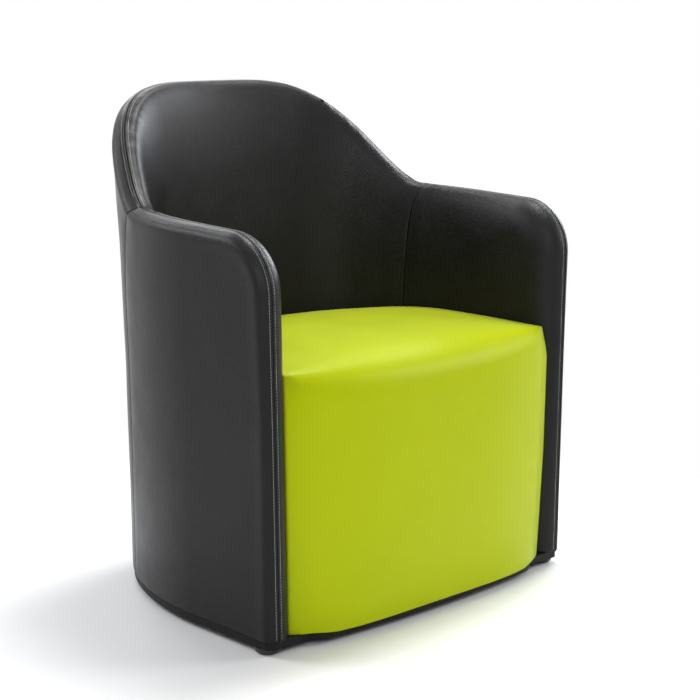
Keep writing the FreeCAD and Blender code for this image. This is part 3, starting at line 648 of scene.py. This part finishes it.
# the hem at the foot, from inside out: how much of the lip it hangs and of the leather it is set in
hem = ((0.0, 2.5), (0.0, 1.02), (0.45, 1.0), (0.90, 1.0), (1.0, 0.75), (1.0, 0.25), (0.90, 0.0), (0.45, 0.0))


def seatTop(x, y):
    s = seatBlock
    fall = s["backFall"] * np.clip(y - s["crest"], 0, None) ** 2
    dip = s["frontFall"] * np.clip(s["frontFallFrom"] - y, 0, None) ** 2
    return s["crown"] - fall - dip - s["sideDrop"] * (np.abs(x) / s["sideReach"]) ** 3


def armFaceOffset(fromFront):
    # offset of the arm's inner leather at a depth behind the arm front
    reach, drop = innerCover["nose"]
    share = np.clip(1 - fromFront / drop, 0, 1)
    return -(innerCover["flat"] + reach * np.sqrt(1 - share * share) + seatBlock["gapToWall"])


def pointsAt(places, run, line):
    return np.stack([np.interp(places, run, line[:, i]) for i in (0, 1)], axis=1)


def seatOutline(z):
    # right half of the plan outline at height z: points, directions out, and how far the top edge
    # rounds inwards and down; the front corners press into the rounding of the arm fronts
    s = seatBlock
    cornerY = float(np.interp(z, s["cornerLevels"], s["cornerY"]))
    behind = shellForm["front"] + cornerY
    halfWidth = float(wallPoint(halfRim - behind, armFaceOffset(behind), z)[0])
    tuck = s["tuck"] * max(0.0, (s["tuckFrom"] - z) / (s["tuckFrom"] - s["foot"])) ** 2
    bow = s["front"] - tuck - s["corner"] + cornerY
    power = float(np.interp(z, s["bowLevels"], s["bowPower"]))
    across = np.concatenate([np.linspace(0, 0.95, 400), 1 - np.logspace(math.log10(0.0499), -13, 600),
                             [1.0]])
    turned = 1 - (1 - across ** s["cornerPower"]) ** (1 / s["cornerPower"])
    fine = np.stack([halfWidth * across,
                     -s["front"] + tuck + bow * across ** power + s["corner"] * turned], axis=1)
    run = runAlong(fine)
    close = run[-1] - s["closeRun"]
    places = np.concatenate([np.linspace(0, close, s["frontCount"] - s["closeCount"] + 1),
                             np.linspace(close, run[-1], s["closeCount"] + 1)[1:]])
    front = pointsAt(places, run, fine)
    heading = pointsAt(places + 0.001, run, fine) - pointsAt(places - 0.001, run, fine)
    heading[0] = (1, 0)
    heading /= np.linalg.norm(heading, axis=1)[:, None]
    frontOut = np.stack([heading[:, 1], -heading[:, 0]], axis=1)
    share = np.clip(front[:, 0] / halfWidth, 0, 1)
    sewn = smoothShare((places - close) / s["closeRun"])
    inwards, downwards = (end + (middle - end) * (1 - share ** power)
                          for end, middle, power in zip(s["endEdge"], s["middleEdge"], (2, 4)))
    inwards, downwards = (edge + (s["sewnEdge"] - edge) * sewn for edge in (inwards, downwards))

    stations = np.concatenate([np.linspace(halfRim - behind, s["backCorner"], s["sideCount"] + 1)[1:],
                               np.linspace(s["backCorner"], 0, s["frontCount"] + 1)[1:]])
    side = armFaceOffset(halfRim - stations)
    rear = wallPoint(stations, side, z)[:, :2]
    rearOut = (wallPoint(stations, side + 0.01, z)[:, :2] - rear) / 0.01
    edges = np.full(len(stations), s["sewnEdge"])
    return (np.concatenate([front, rear]), np.concatenate([frontOut, rearOut]),
            np.concatenate([inwards, edges]), np.concatenate([downwards, edges]))


def wholeLoop(half):
    # right half from the front middle to the back middle, and its mirror, as one closed loop
    return np.concatenate([half, half[1:-1][::-1] * (-1, 1, 1)])


def makeSeat():
    s = seatBlock
    topPoints, outs, inwards, downwards = seatOutline(s["edgeLevel"])
    faceTop = seatTop(topPoints[:, 0], topPoints[:, 1]) - downwards
    sample = np.linspace(s["foot"] - s["lip"], *s["levels"])
    table = np.array([seatOutline(z)[0] for z in sample])

    def ringAt(levels, drawnIn):
        ring = np.empty((len(levels), 3))
        for j, z in enumerate(levels):
            ring[j] = (np.interp(z, sample, table[:, j, 0]), np.interp(z, sample, table[:, j, 1]), z)
        ring[:, :2] -= outs * drawnIn
        return ring

    # the leather hangs a lip below the block, so the foot starts behind it
    foot = np.full(len(topPoints), s["foot"])
    atFront = np.where(topPoints[:, 1] < s["frontFrom"], topPoints[:, 0], s["lipFades"][1])
    lip = s["lip"] + (s["leastLip"] - s["lip"]) * smoothShare(atFront, *s["lipFades"])
    rows = [ringAt(foot - lip * fall, s["leather"] * thick) for fall, thick in hem]
    rows += [ringAt(foot + (faceTop - foot) * share, 0.0) for share in np.linspace(0, 1, s["faceRows"])]
    face = rows[-1]
    for angle in np.linspace(0, math.pi / 2, s["edgeRows"] + 1)[1:]:
        ring = np.empty_like(face)
        ring[:, :2] = face[:, :2] - outs * (inwards * (1 - math.cos(angle)) ** s["rounding"][0])[:, None]
        ring[:, 2] = seatTop(ring[:, 0], ring[:, 1]) - downwards * (1 - math.sin(angle)) ** s["rounding"][1]
        rows.append(ring)
    grid = np.stack([wholeLoop(ring) for ring in rows])
    around, count = grid.shape[1], grid.shape[0] * grid.shape[1]
    index = np.arange(count).reshape(-1, around)
    points = [grid.reshape(-1, 3)]
    blocks = [gridFaces(np.concatenate([index, index[:, :1]], axis=1))]
    half, side = s["frontCount"], s["sideCount"]
    order = np.arange(around)
    front, right = np.concatenate([order[around - half:], order[:half + 1]]), order[half:half + side + 1]
    rear = order[half + side:side + 3 * half + 1][::-1]
    left = order[side + 3 * half:around - half + 1][::-1]
    for isTop in (True, False):
        level, row = (grid[-1], index[-1]) if isTop else (grid[0], index[0])
        plan = coons(*(level[edge][:, :2] for edge in (front, rear, left, right)))
        z = seatTop(plan[..., 0], plan[..., 1]) if isTop else np.full(plan.shape[:2], s["foot"])
        inside = np.zeros(plan.shape[:2], bool)
        inside[1:-1, 1:-1] = True
        patch = np.empty(plan.shape[:2], int)
        patch[0], patch[-1], patch[:, 0], patch[:, -1] = row[front], row[rear], row[left], row[right]
        patch[inside] = count + np.arange(inside.sum())
        count += int(inside.sum())
        points.append(np.concatenate([plan[inside], z[inside][:, None]], axis=1))
        blocks.append(gridFaces(patch))
    points = np.concatenate(points)
    directions = [(points - (0.0, -0.05, 0.2)) * (1, 1, 0)]
    directions += [np.broadcast_to((0, 0, up), points.shape) for up in (1, -1)]
    faces = [facing(points, block, outward) for block, outward in zip(blocks, directions)]
    return makeMesh("seatCushion", points, np.concatenate(faces))


seatCushion = makeSeat()
print("seat block made:", len(seatCushion.data.polygons), "faces")

# How the cover settles: the foam presses it out from a slightly smaller block
seatSettling = {"pressure": 4.0, "frames": 20, "smaller": 0.003, "most": 0.006, "mass": 0.3, "quality": 4,
                "bending": 4.0, "easing": 60,
                "freeInside": (0.262, 0.195), "freeAbove": (0.030, 0.085), "freeBefore": (0.19, 0.09)}


def settleSeat(cushion):
    # held at the foot, at the arms and at the back, free on the front and the top
    s, mesh, scene = seatSettling, cushion.data, bpy.context.scene
    count = len(mesh.vertices)
    fitted, normals, settled = (np.empty(count * 3) for _ in range(3))
    mesh.vertices.foreach_get("co", fitted)
    mesh.vertex_normals.foreach_get("vector", normals)
    fitted, normals = fitted.reshape(-1, 3), normals.reshape(-1, 3)
    free = (smoothShare(np.abs(fitted[:, 0]), *s["freeInside"]) * smoothShare(fitted[:, 2], *s["freeAbove"])
            * smoothShare(fitted[:, 1], *s["freeBefore"]))
    start = fitted - normals * (s["smaller"] * free)[:, None]
    mesh.vertices.foreach_set("co", start.ravel())
    held = cushion.vertex_groups.new(name="held")
    for i, share in enumerate(free):
        held.add([i], 1.0 - float(share), "REPLACE")
    stuffing = cushion.modifiers.new("stuffing", "CLOTH")
    cloth = stuffing.settings
    cloth.quality, cloth.mass, cloth.bending_stiffness = s["quality"], s["mass"], s["bending"]
    cloth.vertex_group_mass = held.name
    cloth.use_pressure, cloth.uniform_pressure_force = True, s["pressure"]
    cloth.effector_weights.gravity = 0.0
    stuffing.collision_settings.use_collision = False
    stuffing.point_cache.frame_start, stuffing.point_cache.frame_end = 1, s["frames"]
    for step in range(1, s["frames"] + 1):
        scene.frame_set(step)
    shown = cushion.evaluated_get(bpy.context.evaluated_depsgraph_get())
    shown.to_mesh().vertices.foreach_get("co", settled)
    shown.to_mesh_clear()
    moved = settled.reshape(-1, 3) - start
    length = np.linalg.norm(moved, axis=1)
    print("seat moved, mean and most in mm:", round(1000 * float(length[free > 0.9].mean()), 2),
          round(1000 * float(length.max()), 2))
    moved *= np.minimum(1.0, s["most"] / np.maximum(length, 1e-9))[:, None]
    pairs = np.empty(len(mesh.edges) * 2, int)
    mesh.edges.foreach_get("vertices", pairs)
    ends = np.concatenate([pairs[0::2], pairs[1::2]])
    others = np.concatenate([pairs[1::2], pairs[0::2]])
    neighbours = np.bincount(ends, minlength=count)[:, None]
    for _ in range(s["easing"]):                          # the taut cover keeps no small folds
        around = np.stack([np.bincount(ends, moved[others, i], count) for i in range(3)], axis=1)
        moved = around / neighbours
    cushion.modifiers.remove(stuffing)
    cushion.vertex_groups.remove(held)
    scene.frame_set(1)
    mesh.vertices.foreach_set("co", (start + moved).ravel())
    mesh.update()


settleSeat(seatCushion)
print("seat settled")


def scaledPlace(tree, place, size):
    # the place measured in pebbles, patches or the like
    per = addNode(tree, "ShaderNodeMath", {0: 1.0, 1: size}, operation="DIVIDE")
    return addNode(tree, "ShaderNodeVectorMath", {0: place, "Scale": per.outputs[0]},
                   operation="SCALE").outputs[0]


def pebbleGrainGroup():
    # embossed leatherette grain: rounded pebbles and fine creases between them; the creases also darken the
    # colour as painted shade
    sockets = {"Position": "Vector", "Pebble Size": "Float", "Crease": "Float"}
    tree, given, result = newGroup("pebbleGrain", sockets, {"Height": "Float", "Crease Shade": "Float"})
    scaled = scaledPlace(tree, given["Position"], given["Pebble Size"])
    warp = addNode(tree, "ShaderNodeTexNoise", {"Vector": scaled, "Scale": 0.7, "Detail": 2.0})
    bent = addNode(tree, "ShaderNodeVectorMath", {0: warp.outputs["Color"], 1: (0.45, 0.45, 0.45), 2: scaled},
                   operation="MULTIPLY_ADD").outputs[0]
    cells = addNode(tree, "ShaderNodeTexVoronoi", {"Vector": bent, "Scale": 1.0},
                    feature="DISTANCE_TO_EDGE").outputs["Distance"]
    small = addNode(tree, "ShaderNodeTexVoronoi", {"Vector": bent, "Scale": 2.3}, feature="SMOOTH_F1")
    rounded = addNode(tree, "ShaderNodeMapRange", {"Value": cells, "From Max": 0.32},
                      interpolation_type="SMOOTHSTEP")
    pitted = addNode(tree, "ShaderNodeMath", {0: small.outputs["Distance"], 1: -0.35, 2: rounded.outputs[0]},
                     operation="MULTIPLY_ADD")
    # painted shade: 1 along the creases between the pebbles, where the colour is darkened
    creaseShade = addNode(tree, "ShaderNodeMapRange",
                     {"Value": cells, "From Max": 0.10, "To Min": 1.0, "To Max": 0.0})
    tree.links.new(pitted.outputs[0], result["Height"])
    tree.links.new(times(tree, creaseShade.outputs[0], given["Crease"]), result["Crease Shade"])
    return tree


def rubbedSheenGroup():
    # slow changes of gloss and tone, as handling leaves them
    sockets = {"Position": "Vector", "Patch Size": "Float", "Low": "Float", "High": "Float"}
    tree, given, result = newGroup("rubbedSheen", sockets, {"Roughness": "Float", "Tone": "Float"})
    scaled = scaledPlace(tree, given["Position"], given["Patch Size"])
    broad = addNode(tree, "ShaderNodeTexNoise",
                    {"Vector": scaled, "Scale": 1.0, "Detail": 4.0, "Roughness": 0.55}).outputs["Fac"]
    rough = addNode(tree, "ShaderNodeMapRange", {"Value": broad, "From Min": 0.3, "From Max": 0.7})
    setInputs(rough, {"To Min": given["Low"], "To Max": given["High"]})
    tree.links.new(rough.outputs[0], result["Roughness"])
    tree.links.new(broad, result["Tone"])
    return tree


pebbleGrain = pebbleGrainGroup()
rubbedSheen = rubbedSheenGroup()

shellFinish = {"dark": (0.0108, 0.0101, 0.0111, 1), "light": (0.0166, 0.0156, 0.0171, 1),
               "pebble": 0.0020, "patch": 0.05, "gloss": (0.28, 0.36), "bump": 0.55, "depth": 0.00024,
               "specular": 0.16, "sheen": 0.0}
seatFinish = {"dark": (0.405, 0.482, 0.0002, 1), "light": (0.440, 0.518, 0.0005, 1),
              "pebble": 0.0014, "patch": 0.07, "gloss": (0.32, 0.40), "bump": 0.25, "depth": 0.00008,
              "specular": 0.09, "sheen": 0.13}
threadTones = {"dark": (0.19, 0.21, 0.17, 1), "light": (0.40, 0.43, 0.36, 1), "twist": 1800.0}


def newFinish(name):
    made = bpy.data.materials.new(name)
    made.use_nodes = True
    tree = made.node_tree
    place = addNode(tree, "ShaderNodeTexCoord").outputs["Object"]
    return made, tree, tree.nodes["Principled BSDF"], place


def mixed(tree, share, first, second):
    return addNode(tree, "ShaderNodeMix", {"Factor": share, 6: first, 7: second}, data_type="RGBA").outputs[2]


def bumped(tree, height, strength, depth):
    return addNode(tree, "ShaderNodeBump",
                   {"Strength": strength, "Distance": depth, "Height": height}).outputs["Normal"]


def leatherette(name, finish):
    made, tree, shader, place = newFinish(name)
    low, high = finish["gloss"]
    # the grain's Crease input sets how strongly its creases darken the colour as painted shade
    grain = addNode(tree, "ShaderNodeGroup", node_tree=pebbleGrain)
    setInputs(grain, {"Position": place, "Pebble Size": finish["pebble"], "Crease": 0.5})
    sheen = addNode(tree, "ShaderNodeGroup", node_tree=rubbedSheen)
    setInputs(sheen, {"Position": place, "Patch Size": finish["patch"], "Low": low, "High": high})
    tone = mixed(tree, sheen.outputs["Tone"], finish["dark"], finish["light"])
    # the base colour goes towards the dark tone along the grain's creases: painted shade
    setInputs(shader, {"Base Color": mixed(tree, grain.outputs["Crease Shade"], tone, finish["dark"]),
                       "Roughness": sheen.outputs["Roughness"],
                       "Normal": bumped(tree, grain.outputs["Height"], finish["bump"], finish["depth"]),
                       "Specular IOR Level": finish["specular"], "Sheen Weight": finish["sheen"],
                       "Sheen Roughness": 0.35})
    return made


def threadFinish():
    made, tree, shader, place = newFinish("seamThread")
    twist = addNode(tree, "ShaderNodeTexNoise",
                    {"Vector": place, "Scale": threadTones["twist"], "Detail": 1.0}).outputs["Fac"]
    setInputs(shader, {"Base Color": mixed(tree, twist, threadTones["dark"], threadTones["light"]),
                       "Normal": bumped(tree, twist, 0.4, 0.0001), "Roughness": 0.5})
    return made


def speckled(name, colours, size, stretch, roughness, metallic=0.0, bump=0.2, depth=0.0002, specular=0.5):
    # plain finish for boards, metal, webbing and plastic, with its own grain
    made, tree, shader, place = newFinish(name)
    long = addNode(tree, "ShaderNodeMapping", {"Vector": place, "Scale": stretch}).outputs[0]
    grain = addNode(tree, "ShaderNodeTexNoise",
                    {"Vector": long, "Scale": 1 / size, "Detail": 5.0, "Distortion": 0.6}).outputs["Fac"]
    least, most = roughness
    rough = addNode(tree, "ShaderNodeMapRange", {"Value": grain, "To Min": least, "To Max": most})
    setInputs(shader, {"Base Color": mixed(tree, grain, *colours), "Roughness": rough.outputs[0],
                       "Normal": bumped(tree, grain, bump, depth), "Metallic": metallic,
                       "Specular IOR Level": specular})
    return made


shellLeather = leatherette("shellLeatherette", shellFinish)
seatLeather = leatherette("seatLeatherette", seatFinish)
even = (1, 1, 1)
nodeFinishes = {
    "frame_wood": speckled("planedBeech", ((0.42, 0.27, 0.15, 1), (0.60, 0.42, 0.26, 1)), 0.012,
                           (1, 1, 0.15), (0.45, 0.65)),
    "plywood": speckled("birchPlywood", ((0.52, 0.38, 0.23, 1), (0.68, 0.53, 0.36, 1)), 0.010,
                        (1, 1, 0.2), (0.5, 0.7)),
    "black_board": speckled("blackBoard", ((0.006, 0.006, 0.006, 1), (0.011, 0.011, 0.011, 1)), 0.006,
                            even, (0.45, 0.62), specular=0.15),
    "glide_plastic": speckled("glidePlastic", ((0.012, 0.012, 0.012, 1), (0.020, 0.020, 0.020, 1)), 0.002,
                              even, (0.28, 0.42), depth=0.00005),
    "steel": speckled("zincSteel", ((0.50, 0.50, 0.50, 1), (0.66, 0.66, 0.66, 1)), 0.003, even, (0.3, 0.5),
                      metallic=1.0),
    "webbing": speckled("juteWebbing", ((0.20, 0.15, 0.09, 1), (0.38, 0.30, 0.20, 1)), 0.0016, even,
                        (0.8, 0.95), bump=0.6, depth=0.0006),
    "foam": speckled("upholsteryFoam", ((0.72, 0.68, 0.54, 1), (0.82, 0.79, 0.68, 1)), 0.002, even,
                     (0.85, 0.95)),
    "shell_leatherette": shellLeather,
    "seat_leatherette": seatLeather,
}
nodeSlots = {part["node"]: part["material_slot"] for part in frame["record"]["subparts"]}
for nodeName, nodeObject in frame["nodes"].items():
    for slot in nodeObject.material_slots:
        slot.material = nodeFinishes[nodeSlots[nodeName]]
print("finishes set")

rimStitches = makeStitches("rimStitches", (outerCover, innerCover), stitchTree(), threadFinish())
rimTape = makeRimTape()
print("rim stitched:", len(rimStitches.data.polygons), "faces")

for made, nodes in shellPanels:
    made.data.materials.append(shellLeather)
    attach(made, "root")
    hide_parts(*nodes)
rimTape.data.materials.append(shellLeather)
for made in (rimStitches, rimTape):
    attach(made, "root")
seatCushion.data.materials.append(seatLeather)
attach(seatCushion, "root")
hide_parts("seat_cover", "seat_foam", "seat_front_foam")
print("pieces placed")

# Lamps: name, place, target, width and height, power, tint
studio = {
    "floorSize": 6.0, "floorColour": (0.92, 0.92, 0.92, 1), "fadeFrom": 0.45, "fadeTo": 0.95,
    "sky": 0.36,
    "lamps": (("overhead", (0.55, 0.15, 2.5), (0.0, -0.1, 0.4), (0.8, 0.8), 46.0, (1.0, 1.0, 1.0)),
              ("backBox", (0.7, 2.3, 2.3), (0.0, 0.0, 0.5), (1.0, 0.8), 24.0, (0.93, 0.97, 1.0)),
              ("rightBox", (2.3, 0.3, 1.45), (0.0, 0.0, 0.5), (1.0, 1.0), 42.0, (0.88, 0.94, 1.0)),
              ("leftBackBox", (-1.45, 1.72, 1.75), (0.0, 0.0, 0.5), (0.8, 1.0), 28.0, (0.95, 0.97, 1.0)),
              ("frontRightBox", (2.4, -1.9, 1.6), (0.0, 0.0, 0.4), (1.2, 1.2), 34.0, (1.0, 1.0, 1.0)),
              ("cameraSideBox", (-1.8, -1.74, 1.46), (0.0, 0.0, 0.5), (0.4, 0.8), 13.0, (1.0, 1.0, 1.0))),
}


def seenDirectly(tree):
    # 1 for the rays that show plain white: the camera's, mirrored ones and those through clear pieces
    path = addNode(tree, "ShaderNodeLightPath").outputs
    seen = path["Is Camera Ray"]
    for other in ("Is Glossy Ray", "Is Transmission Ray"):
        seen = addNode(tree, "ShaderNodeMath", {0: seen, 1: path[other]}, operation="ADD",
                       use_clamp=True).outputs[0]
    return seen


def makeFloor():
    # lit paper near the chair, plain white further out
    size = studio["floorSize"]
    mesh = bpy.data.meshes.new("studioFloor")
    corners = [(-size, -size, 0), (size, -size, 0), (size, size, 0), (-size, size, 0)]
    mesh.from_pydata(corners, [], [(0, 1, 2, 3)])
    paper, tree, shader, place = newFinish("palePaper")
    setInputs(shader, {"Base Color": studio["floorColour"], "Roughness": 0.7, "Specular IOR Level": 0.2})
    away = addNode(tree, "ShaderNodeVectorMath", {0: place}, operation="LENGTH").outputs["Value"]
    fade = addNode(tree, "ShaderNodeMapRange",
                   {"Value": away, "From Min": studio["fadeFrom"], "From Max": studio["fadeTo"]},
                   interpolation_type="SMOOTHSTEP")
    white = addNode(tree, "ShaderNodeEmission", {"Color": (1, 1, 1, 1), "Strength": 1.0})
    share = times(tree, seenDirectly(tree), fade.outputs[0])
    mix = addNode(tree, "ShaderNodeMixShader", {0: share, 1: shader.outputs[0], 2: white.outputs[0]})
    setInputs(tree.nodes["Material Output"], {"Surface": mix.outputs[0]})
    mesh.materials.append(paper)
    return addObject("studioFloor", mesh)


def makeStudio():
    floor = makeFloor()
    world = bpy.data.worlds.new("studioWorld")
    world.use_nodes = True
    bpy.context.scene.world = world
    tree = world.node_tree
    plain = tree.nodes["Background"]
    setInputs(plain, {"Color": (1, 1, 1, 1), "Strength": studio["sky"]})
    white = addNode(tree, "ShaderNodeBackground", {"Color": (1, 1, 1, 1), "Strength": 1.0})
    share = seenDirectly(tree)
    mix = addNode(tree, "ShaderNodeMixShader", {0: share, 1: plain.outputs[0], 2: white.outputs[0]})
    setInputs(tree.nodes["World Output"], {"Surface": mix.outputs[0]})
    for name, place, target, (wide, high), power, tint in studio["lamps"]:
        lamp = bpy.data.lights.new(name, "AREA")
        lamp.color = tint
        lamp.shape, lamp.size, lamp.size_y, lamp.energy = "RECTANGLE", wide, high, power
        holder = addObject(name, lamp)
        holder.location = place
        holder.rotation_euler = (Vector(place) - Vector(target)).to_track_quat("Z", "Y").to_euler()


makeStudio()
bpy.context.scene.view_settings.view_transform = "Standard"
print("studio lit")
